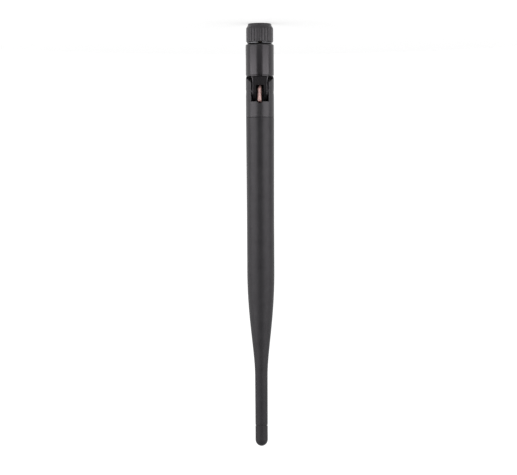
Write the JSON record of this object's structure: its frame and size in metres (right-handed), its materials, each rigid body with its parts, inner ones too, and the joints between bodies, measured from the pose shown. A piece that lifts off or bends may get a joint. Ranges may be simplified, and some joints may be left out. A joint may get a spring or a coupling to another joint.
{
  "type": "folding whip antenna",
  "caption": "Rubber-duck style whip antenna with a fork-and-tongue folding hinge, a swivel barrel and a threaded coaxial plug with a ribbed nut.",
  "frame": {"origin": "on the whip's axis, at the front edge of the plug's grip, which is the bottom centre of the bounding box", "axes": "+Z along the whip from the plug to the tip; -Z is the way the plug faces; the whip folds about X, towards -Y, where the cable's window is"},
  "size_m": [0.013, 0.013, 0.195],
  "materials": {
    "black_plastic": "satin moulded black plastic",
    "matte_black_plastic": "fine matte moulded black plastic",
    "gold_plate": "thin gold plate on turned brass",
    "spring_steel": "dark spring steel",
    "brass": "drawn brass tube",
    "copper": "bare copper wire",
    "tinned_copper": "tinned copper braid under solder",
    "brown_cable": "glossy translucent red-brown fluoropolymer jacket",
    "white_fluoropolymer": "waxy white fluoropolymer",
    "silicone": "soft red silicone",
    "foam": "closed-cell foam"
  },
  "bodies": {
    "connector": {"connector_shell": "gold_plate", "insulator": "white_fluoropolymer", "centre_contact": "gold_plate", "crimp_ferrule": "brass", "nut_gasket": "silicone", "swivel_washer": "spring_steel", "retaining_clip": "spring_steel"},
    "nut": {"nut_grip": "black_plastic", "coupling_nut": "gold_plate", "nut_snap_ring": "spring_steel"},
    "housing": {"swivel_housing": "black_plastic", "coax_cable": "brown_cable"},
    "whip": {"hinge_fork": "black_plastic", "hinge_pin_left": "spring_steel", "hinge_pin_right": "spring_steel", "coax_braid_end": "tinned_copper", "coax_dielectric_end": "white_fluoropolymer", "sleeve": "brass", "sleeve_spacer": "white_fluoropolymer", "feed_shrink": "matte_black_plastic", "radiator": "copper", "foam_spacer": "foam", "radome": "matte_black_plastic", "tip_cap": "matte_black_plastic"}
  },
  "joints": [
    {"name": "nut_spin", "type": "hinge", "parent": "connector", "child": "nut", "pos_m": [0, 0, 0], "axis": [0, 0, 1], "continuous": true},
    {"name": "base_swivel", "type": "hinge", "parent": "connector", "child": "housing", "pos_m": [0, 0, 0.00925], "axis": [0, 0, 1], "range_deg": [-180, 180]},
    {"name": "tilt", "type": "hinge", "parent": "housing", "child": "whip", "pos_m": [0, 0, 0.03165], "axis": [1, 0, 0], "range_deg": [0, 90], "deforming": ["coax_cable"]}
  ]
}
